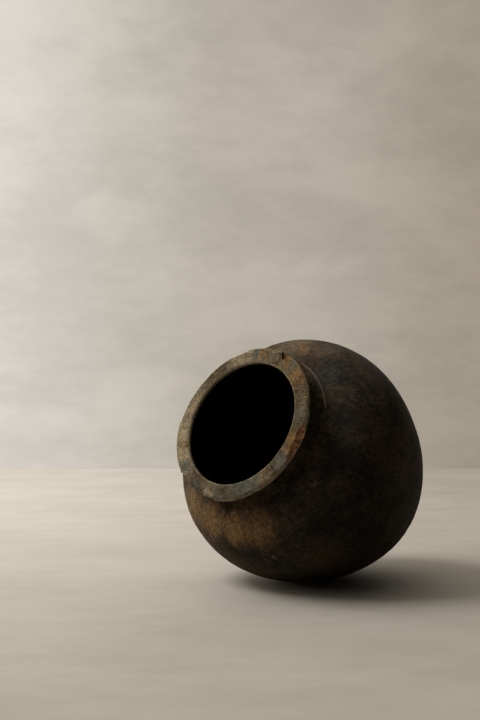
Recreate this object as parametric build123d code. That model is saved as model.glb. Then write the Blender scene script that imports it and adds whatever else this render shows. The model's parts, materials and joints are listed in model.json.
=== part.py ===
"""A hand-built clay pot lying on its side, as the clay members it is built from.

Frame, in millimetres: +Z up, and the pot rests at z = 0 on the worn flat of its flank.
The origin is the middle of that flat.  The mouth points along -Y and upwards.
The wall is drawn once as a section (radius, height along the pot's own axis, measured
from its widest circle), cut into members by bevelled laps, and turned about the axis.
"""
from build123d import *
import math
import os

# ---- driving dimensions ---------------------------------------------------------------
BELLY_RADIUS = 125.0         # at the widest circle
WALL = 9.0                   # thickness of the body wall
LEAN = 25.5                  # degrees that the pot's axis rises above the floor
FLAT_DEPTH = 0.8             # clay worn off the flank where it rests

# The outside is four arcs that meet tangent.  Angles are those of the outward normal,
# in degrees above the plane of the widest circle.
BELLY_ARC = 95.0
FLANK_ARC = 230.5
SHOULDER_ARC = 42.0
BASE_TO_FLANK = -38.0
FLANK_TO_BELLY = -10.76
BELLY_TO_SHOULDER = 24.7
SHOULDER_END = 60.0          # from here the shoulder runs straight to the neck

COLLAR_FOOT_RADIUS = 81.0    # where the collar is luted on to the shoulder
NECK_FOOT_RADIUS = 77.5      # where the straight shoulder ends in the neck's hollow
MOUTH_RADIUS = 63.5          # the cylindrical inside of the neck
MOUTH_LOW = 75.0             # height at which that cylinder starts
MOUTH_ROUND = 3.0            # rounded inner edge of the lip
LIP_TOP = 97.6               # height of the lip's flat face
LIP_TOP_RADIUS = 78.6        # outer edge of that face
LIP_EDGE = (80.6, 94.6)      # the lip's widest point
LIP_UNDERSIDE = (79.3, 91.5)
LIP_JOINT_OUTSIDE = (74.0, 85.0)
LIP_JOINT_INSIDE = 82.0      # height of the same joint on the inside

# Each wall member ends, on the outside, at one of these normal angles.
WALL_JOINTS = (-50.0, -31.0, -20.0, -6.0, 20.0, SHOULDER_END)
LAP = 6.0                    # how much lower each bevelled joint lies on the inside


# ---- the section ----------------------------------------------------------------------
def toward(angle):
    """Unit vector in the section, at this angle above the widest circle's plane."""
    return Vector(math.cos(math.radians(angle)), math.sin(math.radians(angle)))


belly_centre = Vector(BELLY_RADIUS - BELLY_ARC, 0)
flank_centre = belly_centre + toward(FLANK_TO_BELLY) * (BELLY_ARC - FLANK_ARC)
base_start = flank_centre + toward(BASE_TO_FLANK) * FLANK_ARC
base_arc = base_start.X / math.cos(math.radians(BASE_TO_FLANK))
base_centre = base_start - toward(BASE_TO_FLANK) * base_arc
shoulder_centre = belly_centre + toward(BELLY_TO_SHOULDER) * (BELLY_ARC - SHOULDER_ARC)

# centre, radius, lowest and highest normal angle
SKIN_ARCS = (
    (base_centre, base_arc, -90.0, BASE_TO_FLANK),
    (flank_centre, FLANK_ARC, BASE_TO_FLANK, FLANK_TO_BELLY),
    (belly_centre, BELLY_ARC, FLANK_TO_BELLY, BELLY_TO_SHOULDER),
    (shoulder_centre, SHOULDER_ARC, BELLY_TO_SHOULDER, SHOULDER_END),
)


def arc_at(angle):
    """The skin arc that holds this normal angle."""
    return next(arc for arc in SKIN_ARCS if angle <= arc[3])


def skin(angle, depth):
    """The point at this normal angle, this deep below the outside."""
    centre, radius, _, _ = arc_at(angle)
    return centre + toward(angle) * (radius - depth)


def skin_edges(low, high, depth):
    """The arcs between two normal angles, this deep below the outside."""
    edges = []
    for centre, radius, arc_low, arc_high in SKIN_ARCS:
        start = max(low, arc_low)
        end = min(high, arc_high)
        if end - start > 1e-6:
            ends = [centre + toward(a) * (radius - depth) for a in (start, (start + end) / 2, end)]
            edges.append(ThreePointArc(*ends))
    return edges


def inner_angle(angle):
    """Normal angle at which a joint that shows at this angle outside comes out inside."""
    _, radius, _, _ = arc_at(angle)
    return angle - math.degrees(LAP / radius)


# The straight shoulder, and the same line set in by the wall.
slope = Vector(-math.sin(math.radians(SHOULDER_END)), math.cos(math.radians(SHOULDER_END)))
slope_start = skin(SHOULDER_END, 0)
inner_slope_start = skin(SHOULDER_END, WALL)


def on_slope(start, radius):
    """The point of a shoulder line at this radius."""
    return start + slope * ((radius - start.X) / slope.X)


collar_foot = on_slope(slope_start, COLLAR_FOOT_RADIUS)
collar_foot_inside = collar_foot - toward(SHOULDER_END) * WALL - slope * LAP
neck_foot = on_slope(slope_start, NECK_FOOT_RADIUS)
inner_corner = on_slope(inner_slope_start, MOUTH_RADIUS)
mouth_low = Vector(MOUTH_RADIUS, MOUTH_LOW)
throat = inner_corner - slope * (MOUTH_LOW - inner_corner.Y)
lip_joint_outside = Vector(*LIP_JOINT_OUTSIDE)
lip_joint_inside = Vector(MOUTH_RADIUS, LIP_JOINT_INSIDE)


def base_section():
    """The bowl that the pot is started from."""
    top = WALL_JOINTS[0]
    outside = skin_edges(-90, top, 0)
    inside = skin_edges(-90, inner_angle(top), WALL)
    return [
        *outside,
        Line(skin(top, 0), skin(inner_angle(top), WALL)),
        *inside,
        Line(skin(-90, WALL), skin(-90, 0)),
    ]


def wall_section(low, high):
    """One wall coil, between two bevelled joints."""
    return [
        *skin_edges(low, high, 0),
        Line(skin(high, 0), skin(inner_angle(high), WALL)),
        *skin_edges(inner_angle(low), inner_angle(high), WALL),
        Line(skin(inner_angle(low), WALL), skin(low, 0)),
    ]


def shoulder_section():
    """The coil that closes the shoulder in to the neck."""
    low_inside = inner_angle(SHOULDER_END)
    return [
        Line(slope_start, collar_foot),
        Line(collar_foot, collar_foot_inside),
        Line(collar_foot_inside, inner_slope_start),
        *skin_edges(low_inside, SHOULDER_END, WALL),
        Line(skin(low_inside, WALL), slope_start),
    ]


neck_hollow = TangentArc(neck_foot, lip_joint_outside, tangent=slope)


def collar_section():
    """The collar: foot on the shoulder, hollow outside, the mouth's cylinder inside."""
    return [
        Line(collar_foot, neck_foot),
        neck_hollow,
        Line(lip_joint_outside, lip_joint_inside),
        Line(lip_joint_inside, mouth_low),
        TangentArc(mouth_low, throat, tangent=(0, -1)),
        Line(throat, collar_foot_inside),
        Line(collar_foot_inside, collar_foot),
    ]


def lip_section():
    """The lip: flared below, rounded at the edge, flat on top."""
    underside = Vector(*LIP_UNDERSIDE)
    top_outside = Vector(LIP_TOP_RADIUS, LIP_TOP)
    top_inside = Vector(MOUTH_RADIUS + MOUTH_ROUND, LIP_TOP)
    mouth_high = Vector(MOUTH_RADIUS, LIP_TOP - MOUTH_ROUND)
    return [
        TangentArc(lip_joint_outside, underside, tangent=neck_hollow % 1),
        ThreePointArc(underside, LIP_EDGE, top_outside),
        Line(top_outside, top_inside),
        TangentArc(top_inside, mouth_high, tangent=(-1, 0)),
        Line(mouth_high, lip_joint_inside),
        Line(lip_joint_inside, lip_joint_outside),
    ]


# ---- from section to place ------------------------------------------------------------
# The pot's axis leans from upright towards -Y, and the flat's middle is the origin.
rest_point = skin(-LEAN, FLAT_DEPTH)
axis_direction = Vector(0, -math.cos(math.radians(LEAN)), math.sin(math.radians(LEAN)))
downhill = Vector(0, -math.sin(math.radians(LEAN)), -math.cos(math.radians(LEAN)))
belly_middle = downhill * -rest_point.X - axis_direction * rest_point.Y
placing = Pos(*belly_middle) * Rot(90 - LEAN, 0, 0)
floor_cutter = Pos(0, 0, -BELLY_RADIUS) * Box(4 * BELLY_RADIUS, 4 * BELLY_RADIUS, 2 * BELLY_RADIUS)


def turned(edges):
    """The member whose section these edges enclose, in its place and worn flat below."""
    face = make_face(Wire(edges))
    upright = revolve(Plane.XZ * face, Axis.Z, 360)
    member = placing * upright
    if member.bounding_box().min.Z < 0:
        member = member - floor_cutter
    return member


members = {"base_bowl": base_section()}
for number, (low, high) in enumerate(zip(WALL_JOINTS, WALL_JOINTS[1:]), start=1):
    members[f"wall_coil_{number}"] = wall_section(low, high)
members["shoulder_coil"] = shoulder_section()
members["neck_collar"] = collar_section()
members["lip_coil"] = lip_section()

os.makedirs("parts", exist_ok=True)
for name, edges in members.items():
    export_step(turned(edges), f"parts/{name}.step")

print("belly middle", belly_middle)
print("middle of the lip's face", belly_middle + axis_direction * LIP_TOP)
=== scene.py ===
# %% [markdown]
# # A hand-built clay pot, lying on its side
# A pot like this is built from clay members: a base dish, wall coils, a shoulder coil, a collar
# and a lip. The packed CAD frame holds each one as a plain turned ring. This lesson gives every
# ring its surface: a hand-scraped wall, a chipped lip and the colours of an open smoky fire.

# %% Load the frame
import json
import math

import bpy
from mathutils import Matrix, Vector


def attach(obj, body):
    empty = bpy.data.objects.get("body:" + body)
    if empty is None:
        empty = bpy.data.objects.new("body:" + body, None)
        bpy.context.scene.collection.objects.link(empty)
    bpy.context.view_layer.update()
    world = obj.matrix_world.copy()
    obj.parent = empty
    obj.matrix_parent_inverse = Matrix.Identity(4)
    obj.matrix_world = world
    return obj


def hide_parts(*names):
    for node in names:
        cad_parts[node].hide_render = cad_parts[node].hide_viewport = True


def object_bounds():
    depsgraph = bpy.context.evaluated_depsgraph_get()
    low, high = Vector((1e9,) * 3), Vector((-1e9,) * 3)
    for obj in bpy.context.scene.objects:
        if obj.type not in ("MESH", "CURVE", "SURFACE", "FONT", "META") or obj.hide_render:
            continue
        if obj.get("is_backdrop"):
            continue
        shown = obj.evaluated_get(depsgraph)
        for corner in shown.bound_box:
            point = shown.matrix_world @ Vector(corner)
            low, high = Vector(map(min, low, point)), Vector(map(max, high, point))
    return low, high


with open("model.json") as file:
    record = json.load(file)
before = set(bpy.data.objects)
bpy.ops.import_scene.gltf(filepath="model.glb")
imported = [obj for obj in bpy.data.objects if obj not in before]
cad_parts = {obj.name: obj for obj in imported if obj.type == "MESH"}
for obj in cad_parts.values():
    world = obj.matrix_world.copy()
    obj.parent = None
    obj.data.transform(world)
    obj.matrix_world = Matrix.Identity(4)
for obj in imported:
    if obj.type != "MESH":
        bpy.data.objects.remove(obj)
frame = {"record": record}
cad_low, cad_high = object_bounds()
MM = 0.001
print("CAD box", [round(v, 4) for v in cad_low], [round(v, 4) for v in cad_high])

# %% [markdown]
# ## Where the pot lies
# A turned pot is easiest to think of standing up, so everything below is worked out upright,
# with the middle of the widest circle at zero, and laid down at the very end. The mouth is a
# stated interface of the part, so its axis and place say how the pot lies.

# %% The pot's own axis
mouth = next(m for m in frame["record"]["mounts"] if m["name"] == "mouth")
pot_axis = Vector(mouth["axis"]).normalized()
MOUTH_HEIGHT = 85 * MM           # of that interface above the widest circle
belly_middle = Vector(mouth["pos_m"]) - pot_axis * MOUTH_HEIGHT
tilt = pot_axis.angle(Vector((0, 0, 1)))
BELLY_RADIUS = (cad_high.x - cad_low.x) / 2
print(f"belly radius {BELLY_RADIUS:.4f} m, tipped {math.degrees(tilt):.1f} degrees from upright")

# %% [markdown]
# ## The camera
# A 60 mm lens a little over a metre away, near the floor, looks almost level across the pot, so
# that the mouth points up and to the left.

# %% Camera
CAMERA_PLACE = Vector((0.7719, -0.9787, 0.2416))
CAMERA_AZIMUTH = math.radians(41.59)
CAMERA_PITCH = math.radians(0.68)
camera = bpy.data.objects.new("camera", bpy.data.cameras.new("camera"))
camera.data.lens = 60
camera.location = CAMERA_PLACE
camera.rotation_euler = (math.pi / 2 - CAMERA_PITCH, 0, CAMERA_AZIMUTH)
bpy.context.collection.objects.link(camera)
bpy.context.scene.camera = camera
bpy.context.scene.view_settings.view_transform = "Standard"
to_right = Vector((math.cos(CAMERA_AZIMUTH), math.sin(CAMERA_AZIMUTH), 0))
to_back = Vector((-math.sin(CAMERA_AZIMUTH), math.cos(CAMERA_AZIMUTH), 0))
print("camera is", round((CAMERA_PLACE - belly_middle).length, 3), "m from the pot")

# %% [markdown]
# ## A shorthand for nodes
# Shapes and finishes are both drawn as node trees here. They could be wired by hand in the node
# editor, but then nobody could read them as a recipe. `Net` adds a node, wires its inputs and
# hands back the output, so that a tree reads like the sum it works out.


# %% Node shorthand
class Net:
    """A node tree that is being wired."""

    def __init__(self, tree):
        self.tree = tree

    def add(self, kind, inputs=(), out=0, **settings):
        node = self.tree.nodes.new(kind)
        for key, value in settings.items():
            setattr(node, key, value)
        for key, value in dict(inputs).items():
            socket = node.inputs[key]
            if isinstance(value, bpy.types.NodeSocket):
                self.tree.links.new(value, socket)
            else:
                socket.default_value = value
        return node.outputs[out]

    def math(self, operation, *values):
        return self.add("ShaderNodeMath", dict(enumerate(values)), operation=operation)

    def vector(self, operation, *values):
        out = 1 if operation in ("LENGTH", "DISTANCE", "DOT_PRODUCT") else 0
        return self.add("ShaderNodeVectorMath", dict(enumerate(values)), out, operation=operation)

    def scale(self, value, factor):
        return self.add("ShaderNodeVectorMath", {0: value, "Scale": factor}, operation="SCALE")

    def ramp(self, value, start, end, low=0.0, high=1.0):
        """A smooth step from low, at start, to high, at end."""
        inputs = {"Value": value, "From Min": start, "From Max": end, "To Min": low, "To Max": high}
        return self.add("ShaderNodeMapRange", inputs, interpolation_type="SMOOTHSTEP")

    def noise(self, vector, scale, detail=2.0, roughness=0.5, out=0):
        inputs = {"Vector": vector, "Scale": scale, "Detail": detail, "Roughness": roughness}
        return self.add("ShaderNodeTexNoise", inputs, out=out)

    def cells(self, vector, scale):
        """Cells of a Voronoi pattern: how far from the middle, and three chances for each."""
        node = self.tree.nodes.new("ShaderNodeTexVoronoi")
        self.tree.links.new(vector, node.inputs["Vector"])
        node.inputs["Scale"].default_value = scale
        return node.outputs["Distance"], self.parts(node.outputs["Color"])

    def parts(self, vector):
        """The three numbers of a vector or a colour."""
        node = self.tree.nodes.new("ShaderNodeSeparateXYZ")
        self.tree.links.new(vector, node.inputs[0])
        return node.outputs

    def join(self, x, y, z):
        return self.add("ShaderNodeCombineXYZ", {0: x, 1: y, 2: z})

    def blend(self, factor, first, second):
        """Mixes two numbers."""
        return self.add("ShaderNodeMix", {0: factor, 2: first, 3: second})

    def tint(self, factor, first, second, how="MIX"):
        """Mixes two colours."""
        inputs = {0: factor, 6: first, 7: second}
        return self.add("ShaderNodeMix", inputs, out=2, data_type="RGBA", blend_type=how)


def new_group(kind, name, inputs, outputs):
    """A node group with named sockets: its net, its inputs and its output node."""
    tree = bpy.data.node_groups.new(name, kind)
    for label, (socket, value) in inputs.items():
        made = tree.interface.new_socket(label, in_out="INPUT", socket_type="NodeSocket" + socket)
        if value is not None:
            made.default_value = value
    for label, socket in outputs.items():
        tree.interface.new_socket(label, in_out="OUTPUT", socket_type="NodeSocket" + socket)
    given = tree.nodes.new("NodeGroupInput").outputs
    result = tree.nodes.new("NodeGroupOutput").inputs
    return Net(tree), given, result


def use(net, group, inputs=(), out=0):
    """Places a group in a net."""
    node = net.tree.nodes.new(
        "ShaderNodeGroup" if net.tree.type == "SHADER" else "GeometryNodeGroup")
    node.node_tree = group
    for key, value in dict(inputs).items():
        if isinstance(value, bpy.types.NodeSocket):
            net.tree.links.new(value, node.inputs[key])
        else:
            node.inputs[key].default_value = value
    return node.outputs[out]


print("node shorthand:", [name for name in vars(Net) if not name.startswith("_")])

# %% [markdown]
# ## The wall, drawn once
# A hand-built wall is shaped by one sweep after another, each flowing into the next, so its
# section is arcs that meet tangent. Angles are those of the outward normal, in degrees above
# the plane of the widest circle. Each station on the section keeps its radius, its height and
# its normal, because the surface is later pushed in and out along that normal. Turning the CAD
# mesh itself would be shorter, but its long triangles can't carry any relief.

# %% The section's sizes
WALL = 9 * MM
BELLY_ARC = 95 * MM
FLANK_ARC = 230.5 * MM
SHOULDER_ARC = 42 * MM
BASE_TO_FLANK = -38.0
FLANK_TO_BELLY = -10.76
BELLY_TO_SHOULDER = 24.7
SHOULDER_END = 60.0
POLE = -90.0
# Where one member of the wall ends and the next begins.
WALL_JOINTS = (-50.0, -31.0, -20.0, -6.0, 20.0, SHOULDER_END)
LAP = 6 * MM                     # each joint comes out this much lower on the inside
MOUTH_RADIUS = mouth["dims"]["r_mm"] * MM
COLLAR_FOOT = 81 * MM            # radius where the collar stands on the shoulder
OUTSIDE_STEP = 1.0 * MM          # between stations that are seen close
INSIDE_STEP = 3.0 * MM
TOUCHING = 1e-6                  # anything smaller than this is nothing
print("wall", WALL, "m thick, in", len(WALL_JOINTS), "bands")


# %% Stations on arcs and lines
def toward(angle):
    return Vector((math.cos(math.radians(angle)), math.sin(math.radians(angle))))


def arc_stations(centre, radius, start, end, step):
    """Stations round a centre. Going down in angle is the inside of the wall."""
    count = max(2, math.ceil(abs(math.radians(end - start)) * radius / step))
    side = 1 if end > start else -1
    angles = [start + (end - start) * i / count for i in range(count + 1)]
    return [(centre + toward(a) * radius, toward(a) * side) for a in angles]


def line_stations(start, end, step):
    count = max(1, math.ceil((end - start).length / step))
    along = (end - start).normalized()
    normal = Vector((along.y, -along.x))
    return [(start.lerp(end, i / count), normal) for i in range(count + 1)]


def tangent_stations(start, along, end, step):
    """Stations on the arc that leaves start in the direction along and arrives at end."""
    chord = end - start
    left = Vector((-along.y, along.x))
    radius = chord.length_squared / (2 * chord.dot(left))
    centre = start + left * radius
    sweep = 2 * math.atan2(along.x * chord.y - along.y * chord.x, along.dot(chord))
    count = max(2, math.ceil(abs(sweep * radius) / step))
    stations = []
    for i in range(count + 1):
        turn = sweep * i / count
        spoke = start - centre
        spoke = Vector((spoke.x * math.cos(turn) - spoke.y * math.sin(turn),
                        spoke.x * math.sin(turn) + spoke.y * math.cos(turn)))
        stations.append((centre + spoke, spoke / radius))
    return stations


def joined(*runs):
    """Runs that meet, as one run without the doubled stations."""
    whole = list(runs[0])
    for run in runs[1:]:
        whole += run[1:]
    return whole


belly_centre = Vector((BELLY_RADIUS - BELLY_ARC, 0))
flank_centre = belly_centre + toward(FLANK_TO_BELLY) * (BELLY_ARC - FLANK_ARC)
base_start = flank_centre + toward(BASE_TO_FLANK) * FLANK_ARC
base_arc = base_start.x / math.cos(math.radians(BASE_TO_FLANK))
base_centre = base_start - toward(BASE_TO_FLANK) * base_arc
shoulder_centre = belly_centre + toward(BELLY_TO_SHOULDER) * (BELLY_ARC - SHOULDER_ARC)
SKIN = (
    (base_centre, base_arc, POLE, BASE_TO_FLANK),
    (flank_centre, FLANK_ARC, BASE_TO_FLANK, FLANK_TO_BELLY),
    (belly_centre, BELLY_ARC, FLANK_TO_BELLY, BELLY_TO_SHOULDER),
    (shoulder_centre, SHOULDER_ARC, BELLY_TO_SHOULDER, SHOULDER_END),
)


def outside_run(low, high):
    runs = [arc_stations(centre, radius, max(low, first), min(high, last), OUTSIDE_STEP)
            for centre, radius, first, last in SKIN
            if min(high, last) - max(low, first) > TOUCHING]
    return joined(*runs)


def inside_run(high, low):
    runs = [arc_stations(centre, radius - WALL, min(high, last), max(low, first), INSIDE_STEP)
            for centre, radius, first, last in reversed(SKIN)
            if min(high, last) - max(low, first) > TOUCHING]
    return joined(*runs)


def inner_angle(angle):
    """Where a joint that shows at this angle outside comes out on the inside."""
    radius = next(radius for _, radius, _, last in SKIN if angle <= last)
    return angle - math.degrees(LAP / radius)


print("the skin is", len(SKIN), "arcs, and its base arc has a radius of", round(base_arc, 4), "m")

# %% [markdown]
# ## The neck and the lip
# The collar draws in to a hollow neck, and the lip stands out over it with a flat top, as a coil
# does that is folded out and patted down. Each curve here leaves in the direction in which the
# one before arrived, as clay does under a thumb, so only the points between curves are given.

# %% Points of the neck and the lip
NECK_FOOT = 77.5 * MM            # radius where the neck's hollow starts
THROAT_HEIGHT = 75 * MM          # where the throat starts to open into the shoulder
slope = toward(SHOULDER_END + 90)
slope_start = shoulder_centre + toward(SHOULDER_END) * SHOULDER_ARC
inner_slope_start = slope_start - toward(SHOULDER_END) * WALL


def on_slope(start, radius):
    return start + slope * ((radius - start.x) / slope.x)


collar_foot = on_slope(slope_start, COLLAR_FOOT)
collar_foot_inside = collar_foot - toward(SHOULDER_END) * WALL - slope * LAP
neck_foot = on_slope(slope_start, NECK_FOOT)
inner_corner = on_slope(inner_slope_start, MOUTH_RADIUS)
throat_high = Vector((MOUTH_RADIUS, THROAT_HEIGHT))
throat_low = inner_corner - slope * (throat_high.y - inner_corner.y)
# Radius and height of each point of the lip, in millimetres.
lip_joint = Vector((74, 85)) * MM
lip_joint_inside = Vector((MOUTH_RADIUS, 82 * MM))
lip_underside = Vector((79.3, 91.5)) * MM
lip_widest = Vector((80.6, 94.6)) * MM
lip_shoulder = Vector((77.6, 97.6)) * MM
lip_inner = Vector((66.5, 97.6)) * MM
mouth_edge = Vector((MOUTH_RADIUS, lip_widest.y))
print("the lip is", round((lip_shoulder - mouth_edge).x, 4), "m broad to its outer rounding")


# %% Curves of the neck and the lip
LIP_STEP = OUTSIDE_STEP * 0.6    # closer stations for the tight curves


def travel(stations):
    """The direction that a run is going at its last station."""
    normal = stations[-1][1]
    return Vector((-normal.y, normal.x))


neck_hollow = tangent_stations(neck_foot, slope, lip_joint, OUTSIDE_STEP)
underside = tangent_stations(lip_joint, travel(neck_hollow), lip_underside, OUTSIDE_STEP * 0.8)
lip_side = tangent_stations(lip_underside, travel(underside), lip_widest, LIP_STEP)
lip_round = tangent_stations(lip_widest, travel(lip_side), lip_shoulder, LIP_STEP)
lip_flat = line_stations(lip_shoulder, lip_inner, OUTSIDE_STEP * 0.7)
mouth_round = tangent_stations(lip_inner, Vector((-1, 0)), mouth_edge, LIP_STEP)
print("section: mouth radius", MOUTH_RADIUS, "m, lip radius", round(lip_widest.x, 4), "m")

# %% [markdown]
# ## One ring of the section for each member
# A member is its outside, a bevelled lap down through the wall, its inside, and the lap back.
# The laps are hidden inside the wall, so they get few stations and no surface detail.


# %% The members' loops
LIP_TOP = lip_inner.y
SOOT_AND_SHADE_DEPTH = 7 * MM              # how far down the mouth the soot and painted shade take to close over


# The inside is darkened partly by soot and partly as painted shade down the throat.
def sootiness(place, normal):
    """0 on the outside, rising to 1 down the throat and all over the inside."""
    faces_in = normal.x < 0 or (normal.y > 0 and place.y < 0)
    return min(1.0, max(0.0, (LIP_TOP - place.y) / SOOT_AND_SHADE_DEPTH)) if faces_in else 0.0


def loop(*runs):
    """Seen runs joined by hidden laps: (place, normal, seen, soot and shade) for each station."""
    stations = []
    for run, after in zip(runs, runs[1:] + runs[:1]):
        stations += [(place, normal, 1.0, sootiness(place, normal)) for place, normal in run]
        start, end = run[-1][0], after[0][0]
        if start.x > TOUCHING:
            lap = line_stations(start, end, INSIDE_STEP)[1:-1]
            stations += [(place, normal, 0.0, 0.0) for place, normal in lap]
    if stations[0][0].x > TOUCHING:
        stations.append(stations[0])
    return stations


members = {"base_bowl": loop(
    outside_run(POLE, WALL_JOINTS[0]), inside_run(inner_angle(WALL_JOINTS[0]), POLE))}
for number, (low, high) in enumerate(zip(WALL_JOINTS, WALL_JOINTS[1:]), start=1):
    members[f"wall_coil_{number}"] = loop(
        outside_run(low, high), inside_run(inner_angle(high), inner_angle(low)))
members["shoulder_coil"] = loop(
    line_stations(slope_start, collar_foot, OUTSIDE_STEP),
    joined(line_stations(collar_foot_inside, inner_slope_start, INSIDE_STEP),
           inside_run(SHOULDER_END, inner_angle(SHOULDER_END))))
members["neck_collar"] = loop(
    joined(line_stations(collar_foot, neck_foot, OUTSIDE_STEP), neck_hollow),
    joined(line_stations(lip_joint_inside, throat_high, OUTSIDE_STEP * 2),
           tangent_stations(throat_high, Vector((0, -1)), throat_low, OUTSIDE_STEP * 2),
           line_stations(throat_low, collar_foot_inside, INSIDE_STEP)))
members["lip_coil"] = loop(
    joined(underside, lip_side, lip_round, lip_flat, mouth_round,
           line_stations(mouth_edge, lip_joint_inside, OUTSIDE_STEP)))
for name, stations in members.items():
    print(name, len(stations), "stations")

# %% [markdown]
# ## The surface that hands and tools left
# A scraped wall is never a true surface of revolution. It is a little out of round, it has
# long flat strokes that run from neck to base, and grit has dropped out of it here and there.
# It could be sculpted with brushes. Here one group of nodes gives the height for any point, so
# two members that meet always agree, and each kind of mark has an input of its own.

# %% A place on the upright pot


def around_pot(azimuth, radius, height):
    """Azimuth 0 is +X, and 90 is the side that ends up on top when the pot lies down."""
    angle = math.radians(azimuth)
    return Vector((radius * math.cos(angle), radius * math.sin(angle), height))


def drawn_out(net, around, height, round_scale, height_scale):
    """A place for noise that is stretched along the pot's height or round it."""
    x, y, _ = net.parts(net.scale(around, round_scale))
    return net.join(x, y, net.math("MULTIPLY", height, height_scale))


print("azimuth 45 points along", around_pot(45, 1, 0).to_tuple(2))

# %% Out of round, strokes, finger marks and grain
net, given, result = new_group(
    "GeometryNodeTree", "Hand-scraped surface",
    {"Place": ("Vector", None), "Soot and shade": ("Float", 0.0), "Out of round": ("Float", 0.8 * MM),
     "Strokes": ("Float", 0.35 * MM), "Finger marks": ("Float", 0.7 * MM),
     "Grain": ("Float", 0.2 * MM), "Pit depth": ("Float", 0.7 * MM),
     "Knock depth": ("Float", 0.6 * MM), "Ridge": ("Float", 1.5 * MM)},
    {"Height": "Float", "Ridge": "Float"})
place = given["Place"]
x, y, height = net.parts(place)
flat_place = net.join(x, y, 0.0)
around = net.vector("NORMALIZE", flat_place)
radius = net.vector("LENGTH", flat_place)


def centred(value):
    """Noise from -1 to 1."""
    return net.math("MULTIPLY_ADD", value, 2.0, -1.0)


hollows = centred(net.noise(place, 11.0, detail=1.0))
strokes = centred(net.noise(drawn_out(net, around, height, 13.0, 17.0), 1.0, detail=2.0))
finger_marks = centred(net.noise(drawn_out(net, around, height, 2.5, 55.0), 1.0, detail=1.0))
grain = centred(net.noise(place, 420.0, detail=2.0))
print("relief so far:", len(net.tree.nodes), "nodes")

# %% Pits and knocks


def dents(scale, channel, rarity, narrowest, widest):
    """Round hollows in some cells of a Voronoi pattern, 1 in the middle of each."""
    distance, chances = net.cells(place, scale)
    chance = chances[channel]
    size = net.ramp(chance, 0.55, 1.0, narrowest, widest)
    hollow = net.ramp(distance, 0.0, size, 1.0, 0.0)
    return net.math("MULTIPLY", hollow, net.math("GREATER_THAN", chance, rarity))


pits = dents(95.0, 0, 0.62, 0.0, 0.17)       # where grit dropped out
knocks = dents(34.0, 2, 0.55, 0.02, 0.16)    # wider, shallow and far apart
print("with pits and knocks:", len(net.tree.nodes), "nodes")

# %% The burr at the collar's foot
BURR_AZIMUTH = 45                # the side where it wasn't smoothed away
BURR_WIDTH = 2.2 * MM
from_foot = net.vector("DISTANCE", net.join(radius, height, 0.0), (*collar_foot, 0.0))
burr = net.ramp(from_foot, 0.3 * MM, BURR_WIDTH, 1.0, 0.0)
on_that_side = net.vector("DOT_PRODUCT", around, tuple(around_pot(BURR_AZIMUTH, 1, 0)))
swell = net.ramp(on_that_side, 0.86, 0.97, 0.1, 1.0)
uneven = net.ramp(net.noise(net.scale(around, 9.0), 1.0, detail=3.0), 0.3, 0.6, 0.6, 1.0)
burr = net.math("MULTIPLY", burr, net.math("MULTIPLY", swell, uneven))
print("with the burr:", len(net.tree.nodes), "nodes")

# %% The heights added up
STROKES_START = 20 * MM          # from the axis: strokes follow the azimuth, so they fade there
total = net.blend(given["Soot and shade"], net.math("MULTIPLY", strokes, given["Strokes"]),
                  net.math("MULTIPLY", finger_marks, given["Finger marks"]))
total = net.math("MULTIPLY", total, net.ramp(radius, 0.5 * MM, STROKES_START))
for relief, depth in ((hollows, "Out of round"), (grain, "Grain")):
    total = net.math("MULTIPLY_ADD", relief, given[depth], total)
for dent, depth in ((pits, "Pit depth"), (knocks, "Knock depth")):
    total = net.math("MULTIPLY_ADD", net.math("MULTIPLY", dent, -1.0), given[depth], total)
net.tree.links.new(net.math("MULTIPLY_ADD", burr, given["Ridge"], total), result["Height"])
net.tree.links.new(burr, result["Ridge"])
scraped_surface = net.tree
print("surface group has", len(scraped_surface.nodes), "nodes")

# %% [markdown]
# ## Chips
# Fired clay breaks in shallow shells, so a chip is what a ball takes away: every point of the
# surface that lies inside the ball moves out to it. A little noise on the ball's radius makes
# the broken face rough, and the group also hands on where the clay is now bare, for its colour.

# %% Chip group
net, given, result = new_group(
    "GeometryNodeTree", "Chip",
    {"Place": ("Vector", None), "Bare": ("Float", 0.0), "Centre": ("Vector", None),
     "Radius": ("Float", 8 * MM), "Roughness": ("Float", 0.5 * MM),
     "Side": ("Vector", (0.0, 0.0, 0.0)), "Side from": ("Float", -1.0)},
    {"Place": "Vector", "Bare": "Float"})
from_centre = net.vector("SUBTRACT", given["Place"], given["Centre"])
reach = net.vector("LENGTH", from_centre)
rough = net.math("MULTIPLY_ADD", net.noise(given["Place"], 260.0, detail=3.0), 2.0, -1.0)
broken = net.math("MULTIPLY_ADD", rough, given["Roughness"], given["Radius"])
pushed = net.math("MAXIMUM", reach, broken)
past_side = net.math("GREATER_THAN", net.vector("DOT_PRODUCT", given["Place"], given["Side"]),
                     given["Side from"])
pushed = net.blend(past_side, reach, pushed)
direction = net.vector("NORMALIZE", from_centre)
moved = net.vector("ADD", net.scale(direction, pushed), given["Centre"])
depth = net.math("SUBTRACT", pushed, reach)
bare = net.ramp(depth, 0.1 * MM, 0.6 * MM)
net.tree.links.new(moved, result["Place"])
net.tree.links.new(net.math("MAXIMUM", bare, given["Bare"]), result["Bare"])
chip = net.tree
print("chip group has", len(chip.nodes), "nodes")

# %% [markdown]
# ## The worn lip
# Lids, hands and knocks wear the lip's outer edge back in long flakes with sharp ends. Each
# flake here is a span of azimuth where the edge stands back towards the axis. A ball would cut
# a short bite, so wear has a group of its own, and noise keeps its line from being a true arc.

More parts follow.
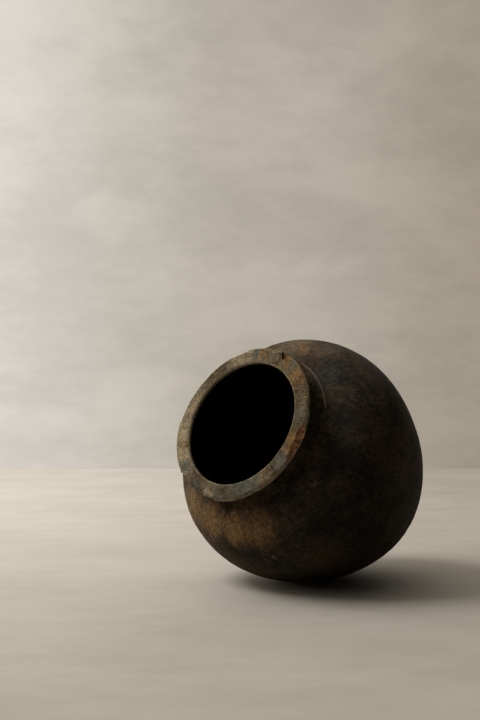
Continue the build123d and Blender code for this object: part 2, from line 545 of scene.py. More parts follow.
# %% Worn edge group
SPAN_END = 0.02                  # radians over which a flake's end steps back
EDGE_RADII = (74.5 * MM, 79 * MM)    # where wear starts, and where it is full
EDGE_HEIGHTS = (88 * MM, 92 * MM)
net, given, result = new_group(
    "GeometryNodeTree", "Worn edge",
    {"Place": ("Vector", None), "Middle": ("Vector", None), "Half span": ("Float", 0.3),
     "Depth": ("Float", 1.5 * MM)},
    {"Place": "Vector"})
x, y, height = net.parts(given["Place"])
flat_place = net.join(x, y, 0.0)
around = net.vector("NORMALIZE", flat_place)
off_middle = net.math("ARCCOSINE", net.vector("DOT_PRODUCT", around, given["Middle"]))
inner_end = net.math("SUBTRACT", given["Half span"], SPAN_END)
in_span = net.ramp(off_middle, inner_end, given["Half span"], 1.0, 0.0)
at_edge = net.math("MULTIPLY", net.ramp(net.vector("LENGTH", flat_place), *EDGE_RADII),
                   net.ramp(height, *EDGE_HEIGHTS))
ragged = net.ramp(net.noise(given["Place"], 55.0, detail=2.0), 0.35, 0.65, 0.7, 1.15)
back = net.math("MULTIPLY", net.math("MULTIPLY", in_span, at_edge),
                net.math("MULTIPLY", ragged, given["Depth"]))
worn = net.vector("SUBTRACT", given["Place"], net.scale(around, back))
net.tree.links.new(worn, result["Place"])
worn_edge = net.tree
print("worn edge group has", len(worn_edge.nodes), "nodes")

# %% [markdown]
# ## Turning a member
# The wheel is a grid of points. Its first direction goes round the pot and its second follows
# the section, so each point looks up its own station and swings it round the axis. The point
# is then pushed along its normal by the surface group, and worn back or chipped. A Screw
# modifier could turn the section too, but it would lose the normals and masks of the stations.

# %% The wheel of points
ROUNDS = 768                     # points round the pot: about a millimetre at the belly


def stored(net, kind, name):
    """An attribute that is on the points already."""
    return net.add("GeometryNodeInputNamedAttribute", {"Name": name}, data_type=kind)


def store(net, member, kind, name, value):
    inputs = {"Geometry": member, "Name": name, "Value": value}
    return net.add("GeometryNodeStoreNamedAttribute", inputs, data_type=kind)


def wheel(net, given):
    """The grid swung into place round the axis, with the section's normals and masks on it."""
    rounds, stations = given["Rounds"], given["Stations"]
    grid = net.add("GeometryNodeMeshGrid", {
        "Size X": 1.0, "Size Y": 1.0,
        "Vertices X": net.math("ADD", rounds, 1.0), "Vertices Y": stations})
    index = net.add("GeometryNodeInputIndex")
    step_round = net.math("FLOOR", net.math("DIVIDE", net.math("ADD", index, 0.5), stations))
    station = net.math("SUBTRACT", index, net.math("MULTIPLY", step_round, stations))
    angle = net.math("MULTIPLY", net.math("DIVIDE", step_round, rounds), 2 * math.pi)

    def of_station(kind, value):
        inputs = {"Geometry": given["Section"], "Value": value, "Index": station}
        return net.add("GeometryNodeSampleIndex", inputs, data_type=kind)

    def swung(vector):
        inputs = {"Vector": vector, "Axis": (0.0, 0.0, 1.0), "Angle": angle}
        return net.add("ShaderNodeVectorRotate", inputs)

    place = swung(of_station("FLOAT_VECTOR", net.add("GeometryNodeInputPosition")))
    normal = swung(of_station("FLOAT_VECTOR", stored(net, "FLOAT_VECTOR", "normal")))
    seen = of_station("FLOAT", stored(net, "FLOAT", "seen"))
    soot = of_station("FLOAT", stored(net, "FLOAT", "soot"))
    member = net.add("GeometryNodeSetPosition", {"Geometry": grid, "Position": place})
    member = store(net, member, "FLOAT", "soot", soot)
    member = store(net, member, "FLOAT", "seen", seen)
    return store(net, member, "FLOAT_VECTOR", "normal", normal)


print("each member gets", ROUNDS, "points round the pot")

# %% Relief, wear and chips


def with_relief(net, member):
    """The seen surface pushed along its normal by the surface group's height."""
    place, soot = net.add("GeometryNodeInputPosition"), stored(net, "FLOAT", "soot")
    surface = use(net, scraped_surface, {"Place": place, "Soot and shade": soot}).node.outputs
    member = store(net, member, "FLOAT", "ridge", surface["Ridge"])
    seen_height = net.math("MULTIPLY", surface["Height"], stored(net, "FLOAT", "seen"))
    push = net.scale(stored(net, "FLOAT_VECTOR", "normal"), seen_height)
    return net.add("GeometryNodeSetPosition", {"Geometry": member, "Offset": push})


def worn_and_chipped(net, member, chips, worn_spans):
    """The edge set back along each worn span, then each chip taken out."""
    place, bare = net.add("GeometryNodeInputPosition"), 0.0
    for azimuth, half_span, depth in worn_spans:
        place = use(net, worn_edge, {
            "Place": place, "Middle": around_pot(azimuth, 1, 0),
            "Half span": math.radians(half_span), "Depth": depth * MM})
    for azimuth, radius, height, size, rough, *side in chips:
        centre = around_pot(azimuth, radius * MM, height * MM)
        inputs = {"Place": place, "Bare": bare, "Centre": centre,
                  "Radius": size * MM, "Roughness": rough * MM}
        if side:
            inputs["Side"] = around_pot(side[0], 1, 0)
            inputs["Side from"] = side[1] * MM
        left = use(net, chip, inputs).node.outputs
        place, bare = left["Place"], left["Bare"]
    member = store(net, member, "FLOAT", "bare", bare)
    return net.add("GeometryNodeSetPosition", {"Geometry": member, "Position": place})


print("made the steps for relief, for wear and for chips")

# %% [markdown]
# ## Laid down and welded
# The pot lies close to where it would balance. The side it lies on can't be seen, so a small
# flat stands for it, as in the CAD frame: points that would be under the floor are raised to it.
# The last column of the wheel lies on the first, and at the pole a whole row is one point, so
# points that coincide are merged, and the member is closed.

# %% The turning tree
WELD = 0.001 * MM
CREASE = math.radians(50)        # an edge that turns more than this stays sharp


def laid_down(net, member):
    member = net.add("GeometryNodeTransform", {
        "Geometry": member, "Translation": belly_middle, "Rotation": (tilt, 0.0, 0.0)})
    x, y, height = net.parts(net.add("GeometryNodeInputPosition"))
    above_floor = net.join(x, y, net.math("MAXIMUM", height, 0.0))
    return net.add("GeometryNodeSetPosition", {"Geometry": member, "Position": above_floor})


def welded(net, member):
    member = net.add("GeometryNodeMergeByDistance", {"Geometry": member, "Distance": WELD})
    member = net.add("GeometryNodeSetShadeSmooth", {"Geometry": member})
    crease = net.math("GREATER_THAN", net.add("GeometryNodeInputMeshEdgeAngle"), CREASE)
    inputs = {"Geometry": member, "Selection": crease, "Shade Smooth": False}
    return net.add("GeometryNodeSetShadeSmooth", inputs, domain="EDGE")


def turning_tree(chips=(), worn_spans=()):
    """The tree for one kind of member, with the edge wear and the chips to take out of it."""
    net, given, result = new_group(
        "GeometryNodeTree", "Turned clay member",
        {"Section": ("Geometry", None), "Rounds": ("Int", ROUNDS), "Stations": ("Int", 2),
         "Clay": ("Material", None)},
        {"Member": "Geometry"})
    member = with_relief(net, wheel(net, given))
    member = worn_and_chipped(net, member, chips, worn_spans)
    member = welded(net, laid_down(net, member))
    member = net.add("GeometryNodeRealizeInstances", {"Geometry": member})
    member = net.add("GeometryNodeSetMaterial", {"Geometry": member, "Material": given["Clay"]})
    net.tree.links.new(member, result["Member"])
    return net.tree


print("weld distance", WELD, "m")

# %% [markdown]
# ## From a section to a finished piece
# The section goes in as a chain of edges, with its normals and masks as attributes. Its
# modifier turns it, and the result is kept as a plain mesh, so that the finished piece has its
# place in its own points and nothing live is left on it.

# %% Section mesh and finished piece
def section_mesh(name, stations):
    """The stations as a chain of edges, with their normals and masks as attributes."""
    mesh = bpy.data.meshes.new(name)
    places = [(place.x, 0.0, place.y) for place, *_ in stations]
    mesh.from_pydata(places, [(i, i + 1) for i in range(len(places) - 1)], [])
    normals = mesh.attributes.new("normal", "FLOAT_VECTOR", "POINT")
    normals.data.foreach_set("vector", [v for _, n, *_ in stations for v in (n.x, 0.0, n.y)])
    for label, column in (("seen", 2), ("soot", 3)):
        values = mesh.attributes.new(label, "FLOAT", "POINT")
        values.data.foreach_set("value", [row[column] for row in stations])
    return mesh


def socket_id(tree, label):
    return next(item.identifier for item in tree.interface.items_tree if item.name == label)


def turned(name, stations, tree, clay):
    """The member as a plain mesh, with its place in its vertices."""
    section = bpy.data.objects.new(name + "_section", section_mesh(name + "_section", stations))
    bpy.context.collection.objects.link(section)
    turning = section.modifiers.new("turning", "NODES")
    turning.node_group = tree
    turning[socket_id(tree, "Rounds")] = ROUNDS
    turning[socket_id(tree, "Stations")] = len(stations)
    turning[socket_id(tree, "Clay")] = clay
    mesh = bpy.data.meshes.new_from_object(
        section.evaluated_get(bpy.context.evaluated_depsgraph_get()))
    mesh.name = name
    bpy.data.objects.remove(section)
    for used_up in ("normal", "seen"):
        if used_up in mesh.attributes:
            mesh.attributes.remove(mesh.attributes[used_up])
    piece = bpy.data.objects.new(name, mesh)
    bpy.context.collection.objects.link(piece)
    return piece


print("members to turn:", len(members))

# %% [markdown]
# ## Colours of an open fire
# A pot fired in an open, smoky fire is coloured by where smoke settled and where air reached
# the clay: here black-brown, a bluish grey, tan and orange-brown. The masks for
# these are groups that every clay material shares, and all of them work in the pot's own
# upright coordinates, so that a cloud of colour can be placed by azimuth and height.

# %% Upright coordinates in a shader
net, given, result = new_group(
    "ShaderNodeTree", "Pot coordinates", {"Object": ("Vector", None)},
    {"Upright": "Vector", "Around": "Vector", "Height": "Float", "Radius": "Float"})
from_middle = net.vector("SUBTRACT", given["Object"], tuple(belly_middle))
upright = net.add("ShaderNodeVectorRotate", {"Vector": from_middle, "Angle": -tilt},
                  rotation_type="X_AXIS")
x, y, height = net.parts(upright)
flat_place = net.join(x, y, 0.0)
net.tree.links.new(upright, result["Upright"])
net.tree.links.new(net.vector("NORMALIZE", flat_place), result["Around"])
net.tree.links.new(height, result["Height"])
net.tree.links.new(net.vector("LENGTH", flat_place), result["Radius"])
pot_coordinates = net.tree
print("pot coordinates group has", len(pot_coordinates.nodes), "nodes")

# %% [markdown]
# ## Clouds left by the fire
# A fire cloud is a patch where flame, ash or smoke touched the clay. It has a middle and a
# size, but its edge wanders. So the place is first shaken by coarse and fine noise together,
# and then its distance from the cloud's middle says how much colour it takes.

# %% A ragged place, and a cloud of colour round a centre
net, given, result = new_group(
    "ShaderNodeTree", "Ragged place",
    {"Upright": ("Vector", None), "Raggedness": ("Float", 40 * MM)}, {"Place": "Vector"})
wander = net.noise(given["Upright"], 42.0, detail=8.0, roughness=0.72, out=1)
wander = net.vector("SUBTRACT", wander, (0.5, 0.5, 0.5))
ragged = net.vector("ADD", given["Upright"], net.scale(wander, given["Raggedness"]))
net.tree.links.new(ragged, result["Place"])
ragged_place = net.tree

net, given, result = new_group(
    "ShaderNodeTree", "Fire cloud",
    {"Place": ("Vector", None), "Centre": ("Vector", None), "Size": ("Float", 30 * MM),
     "Softness": ("Float", 0.6)},
    {"Mask": "Float"})
away = net.math("DIVIDE", net.vector("DISTANCE", given["Place"], given["Centre"]), given["Size"])
start = net.math("SUBTRACT", 1.0, given["Softness"])
net.tree.links.new(net.ramp(away, start, 1.0, 1.0, 0.0), result["Mask"])
fire_cloud = net.tree
print("ragged place and fire cloud:", len(ragged_place.nodes), "and", len(fire_cloud.nodes), "nodes")

# %% [markdown]
# ## The skin of the clay
# Close up, the wall shows the drag of the scraper, the sand in the clay, pale grit, and pores
# where grit fell out. These are too fine for the mesh, so they are a bump, and the same masks
# colour the clay. The lip shows no drag, as if it was wiped, so Brushing turns it off there.

# %% Scrape strokes, grain and grit
net, given, result = new_group(
    "ShaderNodeTree", "Clay skin",
    {"Upright": ("Vector", None), "Around": ("Vector", None), "Height": ("Float", 0.0),
     "Brushing": ("Float", 1.0)},
    {"Strokes": "Float", "Grain": "Float", "Speckle": "Float", "Pores": "Float", "Bump": "Float"})
upright = given["Upright"]
drag = drawn_out(net, given["Around"], given["Height"], 60.0, 40.0)
fine_drag = drawn_out(net, given["Around"], given["Height"], 150.0, 90.0)
grain = net.noise(upright, 900.0, detail=5.0, roughness=0.65)
mottle = net.noise(upright, 260.0, detail=4.0, roughness=0.6)
dabs = net.noise(upright, 150.0, detail=5.0, roughness=0.65)
strokes = net.noise(drag, 1.0, detail=4.0, roughness=0.6)
strokes = net.blend(given["Brushing"], dabs, strokes)
fine_strokes = net.blend(given["Brushing"], grain, net.noise(fine_drag, 1.0, detail=3.0))
distance, chances = net.cells(upright, 330.0)
near_grit = net.ramp(distance, 0.12, 0.3, 1.0, 0.0)
speckle = net.math("MULTIPLY", near_grit, net.math("GREATER_THAN", chances[1], 0.8))
pores = net.math("MULTIPLY", near_grit, net.math("LESS_THAN", chances[1], 0.16))
bump = net.math("MULTIPLY", strokes, 0.25)
for relief, share in ((fine_strokes, 0.1), (mottle, 0.42), (grain, 0.3), (speckle, 0.12),
                      (pores, -0.35)):
    bump = net.math("MULTIPLY_ADD", relief, share, bump)
for label, value in (("Strokes", strokes), ("Grain", grain), ("Speckle", speckle),
                     ("Pores", pores), ("Bump", bump)):
    net.tree.links.new(value, result[label])
clay_skin = net.tree
print("clay skin group has", len(clay_skin.nodes), "nodes")

# %% [markdown]
# ## Smoked clay
# The clay burns brown where air reaches it and black where smoke sits, and the two are mixed at
# every scale. A picture could be wrapped round the pot, but it would stretch and repeat. Layers
# of noise are laid one on another instead: the ground, its mottling, the clouds of the fire,
# then the marks of tools, chips and soot. Some layers are painted light: highlights on the lip's
# edges and the burr, and shade under the lip, in the pores and down the throat with the soot.

# %% The clay's colours
BLACK_BROWN = (0.0120, 0.0093, 0.0064, 1)
OLIVE_BROWN = (0.041, 0.030, 0.0185, 1)
RED_BROWN = (0.038, 0.023, 0.0145, 1)
WARM_BROWN = (0.046, 0.032, 0.020, 1)
SMOKE_AND_SHADE_BLACK = (0.0052, 0.0056, 0.0042, 1)
BLUE_BLACK = (0.0065, 0.0085, 0.0074, 1)
SMOKE_BLUE = (0.024, 0.0255, 0.0225, 1)
OCHRE = (0.138, 0.080, 0.033, 1)
TAN = (0.112, 0.084, 0.047, 1)
LIP_BROWN = (0.056, 0.041, 0.023, 1)
LIP_BLUE = (0.060, 0.064, 0.054, 1)
LIP_PALE = (0.230, 0.185, 0.120, 1)
RIDGE_GREY_AND_HIGHLIGHT = (0.100, 0.085, 0.062, 1)
BARE_CLAY = (0.190, 0.095, 0.035, 1)
SOOT_AND_SHADE_BLACK = (0.0025, 0.0022, 0.002, 1)
print("the darkest clay reflects", SMOKE_AND_SHADE_BLACK[0], "of red light and the palest", LIP_PALE[0])

# %% Ground, mottling and clouds


def mottled_ground(net, upright, ground, mottling, blotches, smearing):
    """The ground with a second colour mottled in, wide blotches and blue-black smears."""
    mottled = net.ramp(net.noise(upright, 46.0, detail=9.0, roughness=0.74), 0.38, 0.66)
    colour = net.tint(mottled, ground, mottling)
    blotched = net.ramp(net.noise(upright, 17.0, detail=8.0, roughness=0.68), 0.46, 0.68)
    colour = net.tint(net.math("MULTIPLY", blotched, 0.8), colour, blotches)
    smear_place = net.vector("MULTIPLY", upright, (24.0, 24.0, 15.0))
    smears = net.ramp(net.noise(smear_place, 1.0, detail=9.0, roughness=0.72), 0.52, 0.66)
    return net.tint(net.math("MULTIPLY", smears, smearing), colour, BLUE_BLACK)


def clouded(net, upright, colour, clouds):
    """Each cloud of the fire laid over the colour, and all of it dabbed light and dark."""
    ragged = use(net, ragged_place, {"Upright": upright})
    for azimuth, radius, height, size, softness, strength, shade in clouds:
        centre = around_pot(azimuth, radius * MM, height * MM)
        mask = use(net, fire_cloud, {"Place": ragged, "Centre": centre,
                                     "Size": size * MM, "Softness": softness})
        colour = net.tint(net.math("MULTIPLY", mask, strength), colour, shade)
    dabs = net.ramp(net.noise(upright, 210.0, detail=6.0, roughness=0.75), 0.32, 0.7, 0.62, 1.5)
    return net.tint(1.0, colour, dabs, "MULTIPLY")


print("made the ground and the clouds")

# %% Rubbed and highlit edges, grain, chips, soot and painted shade


def rubbed_and_highlit_lip(net, where, colour, amount):
    """Pale along the lip's two edges, partly worn by hands and partly a painted highlight, and
    painted shade under the lip.
    """
    # Partly wear and partly a painted highlight: the lip's rounded inner and outer edges are paled.
    inner_edge = net.ramp(where["Radius"], 64.3 * MM, 66.0 * MM, 1.0, 0.0)
    outer_edge = net.ramp(where["Radius"], 78.6 * MM, 79.6 * MM, 0.0, 0.9)
    edges = net.math("MAXIMUM", inner_edge, outer_edge)
    patchy = net.ramp(net.noise(where["Upright"], 70.0, detail=3.0), 0.35, 0.6, 0.25, 1.0)
    edges = net.math("MULTIPLY", net.math("MULTIPLY", edges, patchy), amount)
    colour = net.tint(edges, colour, LIP_PALE)
    # Painted shade: the lip's outer side and underside, below the flat top, are darkened to black.
    painted_shade_under_lip = net.ramp(where["Height"], 91.5 * MM, 95 * MM, 0.9, 0.0)
    outside = net.math("GREATER_THAN", where["Radius"], 70 * MM)
    return net.tint(net.math("MULTIPLY", painted_shade_under_lip, outside), colour, SMOKE_AND_SHADE_BLACK)


def mask_on(net, name):
    """A mask that the turning tree left on the mesh."""
    return net.add("ShaderNodeAttribute", out="Fac", attribute_name=name)


def marked(net, upright, skin, colour):
    """Grain, drag, grit and dark pores, then the paler burr with a painted highlight, the broken
    clay of chips, and soot with painted shade down the throat.
    """
    light_and_dark = net.ramp(skin["Grain"], 0.34, 0.66, 0.5, 1.6)
    streaks = net.ramp(skin["Strokes"], 0.3, 0.7, 0.86, 1.14)
    colour = net.tint(1.0, colour, net.math("MULTIPLY", light_and_dark, streaks), "MULTIPLY")
    colour = net.tint(net.math("MULTIPLY", skin["Speckle"], 0.16), colour, TAN)
    # The pores are painted near black: partly soot in them and partly painted shade.
    colour = net.tint(net.math("MULTIPLY", skin["Pores"], 0.75), colour, SOOT_AND_SHADE_BLACK)
    # Partly paler clay and partly a painted highlight along the burr at the collar's foot.
    burr_pale_and_highlight = net.ramp(mask_on(net, "ridge"), 0.3, 0.8, 0.0, 0.8)
    colour = net.tint(burr_pale_and_highlight, colour, RIDGE_GREY_AND_HIGHLIGHT)
    dirt = net.ramp(net.noise(upright, 240.0, detail=6.0, roughness=0.75), 0.36, 0.62)
    colour = net.tint(mask_on(net, "bare"), colour, net.tint(dirt, BARE_CLAY, RED_BROWN))
    # Soot and painted shade: the throat and the whole inside darkened to near black, deeper away
    # from the lip.
    return net.tint(net.ramp(mask_on(net, "soot"), 0.15, 0.7), colour, SOOT_AND_SHADE_BLACK)


print("made the marks of hands, tools and soot")

# %% Clay material
BUMP_DEPTH = 0.6 * MM


def clay_material(name, ground, mottling, blotches, clouds, shine=0.0, brushing=1.0,
                  smearing=0.7, rubbed_and_highlit_edges=0.0):
    """Clay with a ground colour, two mottled in, and clouds of colour placed on the pot."""
    material = bpy.data.materials.new(name)
    material.use_nodes = True
    net = Net(material.node_tree)
    shader = material.node_tree.nodes["Principled BSDF"]
    shader.inputs["Specular IOR Level"].default_value = shine
    here = net.add("ShaderNodeTexCoord", out="Object")
    where = use(net, pot_coordinates, {"Object": here}).node.outputs
    upright = where["Upright"]
    inputs = {label: where[label] for label in ("Upright", "Around", "Height")}
    skin = use(net, clay_skin, {**inputs, "Brushing": brushing}).node.outputs

    colour = mottled_ground(net, upright, ground, mottling, blotches, smearing)
    colour = clouded(net, upright, colour, clouds)
    if rubbed_and_highlit_edges:
        colour = rubbed_and_highlit_lip(net, where, colour, rubbed_and_highlit_edges)
    net.tree.links.new(marked(net, upright, skin, colour), shader.inputs["Base Color"])
    dull = net.ramp(skin["Strokes"], 0.2, 0.8, 0.62, 0.88)
    dull = net.math("MAXIMUM", dull, mask_on(net, "soot"))
    net.tree.links.new(dull, shader.inputs["Roughness"])
    bump = net.add("ShaderNodeBump", {
        "Height": skin["Bump"], "Distance": BUMP_DEPTH, "Strength": 1.0})
    net.tree.links.new(bump, shader.inputs["Normal"])
    return material


print("bump is", BUMP_DEPTH, "m deep")

# %% [markdown]
# ## Where the fire and the smoke got to
# One side of the shoulder burned to ochre, the other side is smoked blue-black, and the lip is
# paler where hands have worn it, and on its left, towards the window, partly by painted light.
# The hollow of the neck under the lip gets painted shade. Each row puts one cloud on the pot by
# azimuth, radius and height, and lies over the rows before it, so a cloud can be moved without
# touching the others.

# %% Clouds and the three clays
# azimuth, radius, height, size, softness, strength and colour of each cloud
BODY_CLOUDS = (
    # wide smoke behind the rest
    (-35, 120, 10, 85, 0.9, 0.6, SMOKE_AND_SHADE_BLACK),
    # one side of the shoulder: tan, smoke and the ochre band
    (-138, 105, 54, 36, 0.9, 0.75, TAN),
    (-9, 105, 55, 34, 0.9, 0.7, SMOKE_AND_SHADE_BLACK),
    (-118, 116, 32, 50, 0.95, 0.35, TAN),
    (-128, 98, 59, 28, 0.95, 0.7, OCHRE),
    (-109, 95, 60, 27, 0.95, 0.95, OCHRE),
    (-90, 95, 60, 27, 0.95, 1.0, OCHRE),
    (-72, 97, 59, 27, 0.95, 0.8, OCHRE),
    (-42, 110, 48, 30, 0.9, 0.55, SMOKE_AND_SHADE_BLACK),
    # warmer brown round the belly and below it
    (-97, 121, 16, 44, 0.95, 0.7, WARM_BROWN),
    (-56, 124, 2, 46, 0.95, 0.75, WARM_BROWN),
    (4, 121, 0, 50, 0.95, 0.5, WARM_BROWN),
    (-60, 113, -48, 42, 0.9, 0.6, RED_BROWN),
    (-14, 110, -60, 36, 0.9, 0.5, RED_BROWN),
    # painted shade in the hollow of the neck under the lip, then the upper side: tan, ochre and blue
    # smoke
    (-95, 79, 71, 13, 0.7, 0.85, BLACK_BROWN),
    (88, 104, 55, 34, 0.8, 0.55, TAN),
    (78, 100, 58, 12, 0.8, 0.6, OCHRE),
    (66, 108, 51, 22, 0.9, 0.4, TAN),
    (47, 92, 64, 28, 0.9, 0.75, SMOKE_BLUE),
    (40, 101, 58, 15, 0.9, 0.8, BLUE_BLACK),
    (58, 98, 61, 12, 0.9, 0.7, BLUE_BLACK),
    # three small pale spots
    (-72, 118, 36, 4, 0.6, 0.7, TAN),
    (-13, 117, 37, 3, 0.6, 0.5, TAN),
    (-28, 94, 61, 4, 0.6, 0.5, TAN),
    # the far side and the base
    (150, 118, -30, 70, 0.9, 0.5, RED_BROWN),
    (60, 115, -45, 60, 0.9, 0.6, SMOKE_AND_SHADE_BLACK),
    (165, 70, -95, 55, 0.8, 0.6, OCHRE),
    (20, 60, -105, 50, 0.8, 0.7, SMOKE_AND_SHADE_BLACK),
    (-150, 120, -10, 55, 0.9, 0.5, SMOKE_AND_SHADE_BLACK),
    (115, 122, 15, 50, 1.0, 0.35, TAN),
    (175, 110, 48, 60, 1.0, 0.4, OCHRE),
)
LIP_CLOUDS = (
    # the two large pale clouds on the lip's left, towards the window, are partly its own pale clay
    # and partly painted light
    (-172, 74, 98, 62, 0.8, 0.75, LIP_PALE),
    (-142, 74, 98, 30, 0.9, 0.45, LIP_PALE),
    (104, 76, 98, 38, 0.8, 0.6, LIP_PALE),
    (-62, 72, 98, 26, 0.7, 0.7, LIP_BLUE),
    (-30, 72, 98, 18, 0.7, 0.6, LIP_BLUE),
    (10, 72, 98, 16, 0.8, 0.5, LIP_BLUE),
    (88, 74, 98, 9, 0.6, 0.8, OCHRE),
    (60, 76, 98, 8, 0.6, 0.75, OCHRE),
    (43, 75, 98, 15, 0.7, 0.8, OCHRE),
    (-14, 74, 98, 15, 0.7, 0.8, OCHRE),
    (76, 73, 98, 4.5, 0.5, 0.8, LIP_BLUE),
    (96, 75, 98, 9, 0.5, 0.8, LIP_BLUE),
    (-138, 73, 98, 10, 0.5, 0.8, LIP_BLUE),
    (-116, 75, 98, 8, 0.5, 0.8, LIP_BLUE),
    (-99, 74, 98, 10, 0.7, 0.6, LIP_PALE),
    (-160, 66, 97, 9, 0.7, 0.6, OCHRE),
)
body_clay = clay_material("smoked body clay", BLACK_BROWN, OLIVE_BROWN, RED_BROWN, BODY_CLOUDS,
                          shine=0.06)
collar_clay = clay_material("matt collar clay", BLACK_BROWN, OLIVE_BROWN, RED_BROWN, BODY_CLOUDS)
lip_clay = clay_material("worn lip clay", LIP_BROWN, TAN, LIP_BLUE, LIP_CLOUDS,
                         brushing=0.0, smearing=0.15, rubbed_and_highlit_edges=0.8)
clays = {"body_clay": body_clay, "collar_clay": collar_clay, "lip_clay": lip_clay}
print("clays:", [material.name for material in clays.values()])

# %% [markdown]
# ## The pot, member by member
# Now every CAD node gets its finished member. The eight plain ones share one turning tree. The
# lip has a tree of its own, because it alone is worn and chipped: one chip that ran into a
# straight crack, one long stretch where the edge broke away, and small nicks. A fired pot
# doesn't move, so every member rides on the one body.

# %% Turn the members
# azimuth, radius, height, ball radius and roughness of each chip, in degrees and millimetres.
# The first one stops at a straight crack, so it also has the azimuth that its side faces and
# the crack's distance from the axis.
LIP_CHIPS = (
    (67, 82, 104.5, 11.5, 0.6, 22, 52.6),
    (-6, 87, 110, 18, 1.0),
    (-15, 88, 112, 20, 1.0),
    (-22, 85, 107, 13, 0.9),
    (-86, 83, 99, 4.5, 0.4),
    (-154, 63, 100, 4.2, 0.4),
    (150, 83, 100, 5, 0.5),
)
# azimuth of the middle, half the span in degrees, and depth in millimetres
WORN_SPANS = ((143, 40, 1.8), (-114, 22, 1.3), (-60, 6, 0.8), (20, 8, 0.7), (0, 200, 0.35))
plain_turning = turning_tree()
lip_turning = turning_tree(LIP_CHIPS, WORN_SPANS)
record_slots = {part["node"]: part["material_slot"] for part in frame["record"]["subparts"]}
for name, stations in members.items():
    turning = lip_turning if name == "lip_coil" else plain_turning
    piece = turned("fired_" + name, stations, turning, clays[record_slots[name]])
    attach(piece, "root")
    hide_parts(name)
    print(piece.name, len(piece.data.polygons), "faces")

# %% [markdown]
# ## The floor
# The pot lies on a pale plaster floor. The floor could be one colour, but a trowel leaves faint
# streaks, so a stretched noise tints it, and two soft ramps paint light on it: paler at the back
# and on the window side.

# %% Floor
WALL_LINE = 2.36                 # from the camera to where the floor ends
REACH = 3                        # half the floor's width and depth
floor_mesh = bpy.data.meshes.new("floor")
middle = Vector((CAMERA_PLACE.x, CAMERA_PLACE.y, 0)) + to_back * (WALL_LINE - REACH)
corners = [middle + to_right * (REACH * side) + to_back * (REACH * end)
           for side, end in ((-1, -1), (1, -1), (1, 1), (-1, 1))]
floor_mesh.from_pydata(corners, [], [(0, 1, 2, 3)])
floor = bpy.data.objects.new("floor", floor_mesh)
bpy.context.collection.objects.link(floor)
plaster = bpy.data.materials.new("pale plaster")
plaster.use_nodes = True
net = Net(plaster.node_tree)
shader = plaster.node_tree.nodes["Principled BSDF"]
shader.inputs["Roughness"].default_value = 0.9
shader.inputs["Specular IOR Level"].default_value = 0.1
here = net.add("ShaderNodeTexCoord", out="Object")
turned_place = net.add("ShaderNodeVectorRotate", {"Vector": here, "Angle": -CAMERA_AZIMUTH},
                       rotation_type="Z_AXIS")
streaked = net.vector("MULTIPLY", turned_place, (5.0, 9.0, 1.0))
streaks = net.ramp(net.noise(streaked, 1.0, detail=12.0, roughness=0.72), 0.25, 0.75)
colour = net.tint(streaks, (0.88, 0.87, 0.85, 1), (1.04, 1.04, 1.04, 1))
rightward, backward, _ = net.parts(turned_place)
# Painted light: the floor is paler towards the back and towards the window on the left, darker near
# the front and to the right.
painted_window_light = net.math("MULTIPLY", net.ramp(rightward, -0.55, 0.35, 1.0, 0.35),
                    net.ramp(backward, -0.7, 0.9, 0.25, 1.0))
pale_with_painted_light = net.tint(painted_window_light, (0.292, 0.269, 0.232, 1), (0.63, 0.60, 0.565, 1))
colour = net.tint(1.0, colour, pale_with_painted_light, "MULTIPLY")
net.tree.links.new(colour, shader.inputs["Base Color"])
floor_mesh.materials.append(plaster)
floor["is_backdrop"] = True
print("floor is", 2 * REACH, "m square")

# %% [markdown]
# ## The light
# A window high on the left does most of it, and the bright wall behind gives back a warm glow.
# More lamps could fill the shadows, but the dark side of the pot would go flat. The wall is only
# a colour of the surroundings, so that nothing hides the pot when it is looked at from behind.

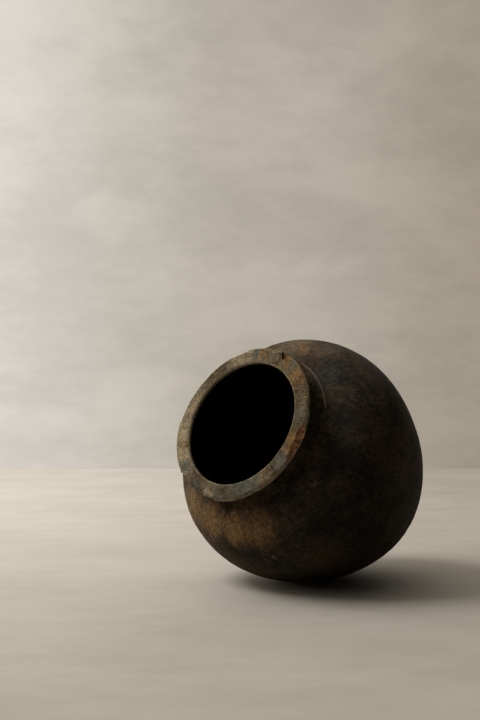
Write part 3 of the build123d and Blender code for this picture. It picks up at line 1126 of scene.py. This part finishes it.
# %% Window
up = Vector((0, 0, 1))
window = bpy.data.lights.new("window", "AREA")
window.size = 1.1
window.energy = 46
window.color = (1.0, 0.975, 0.94)
window_frame = bpy.data.objects.new("window", window)
window_frame.location = belly_middle - to_right * 1.5 + up * 1.9 - to_back * 0.1
to_pot = belly_middle - window_frame.location
window_frame.rotation_euler = to_pot.to_track_quat("-Z", "Y").to_euler()
bpy.context.collection.objects.link(window_frame)
print("window is", round(to_pot.length, 2), "m from the pot")

# %% Wall and surroundings
world = bpy.data.worlds.new("room")
world.use_nodes = True
bpy.context.scene.world = world
net = Net(world.node_tree)
toward_sky = net.add("ShaderNodeTexCoord", out="Generated")
rightness = net.vector("DOT_PRODUCT", toward_sky, tuple(to_right))
# Painted light on the wall: paler on the window side and darker on the far side.
painted_window_glow = net.ramp(rightness, -0.24, 0.02, 1.0, 0.0)
painted_far_shade = net.ramp(rightness, 0.0, 0.24)
wall = net.tint(painted_window_glow, (0.47, 0.43, 0.36, 1), (0.72, 0.67, 0.61, 1))
wall = net.tint(painted_far_shade, wall, (0.345, 0.295, 0.235, 1))
troweled = net.vector("MULTIPLY", toward_sky, (1.0, 1.0, 2.2))
cloudy = net.ramp(net.noise(troweled, 9.0, detail=9.0, roughness=0.66), 0.3, 0.7, 0.9, 1.08)
wall = net.tint(1.0, wall, cloudy, "MULTIPLY")
sky = world.node_tree.nodes["Background"]
sky.inputs["Color"].default_value = (1.0, 0.92, 0.80, 1)
bright_side = (to_back * 0.65 - to_right * 0.65 + up * 0.4).normalized()
glow = net.vector("DOT_PRODUCT", toward_sky, tuple(bright_side))
net.tree.links.new(net.ramp(glow, -0.2, 1.0, 0.004, 1.5), sky.inputs["Strength"])
wall_seen = net.add("ShaderNodeBackground", {"Color": wall})
seen_directly = net.add("ShaderNodeLightPath", out="Is Camera Ray")
both = net.add("ShaderNodeMixShader", {0: seen_directly, 1: sky.outputs[0], 2: wall_seen})
net.tree.links.new(both, world.node_tree.nodes["World Output"].inputs["Surface"])
print("surroundings have", len(world.node_tree.nodes), "nodes")

# %% [markdown]
# ## The members' box
# Relief and wear must not change how big the part is. The box round all the members is printed,
# like the box of the CAD frame, so the two can be compared.

low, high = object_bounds()
print("members' box", [round(v, 4) for v in low], [round(v, 4) for v in high])
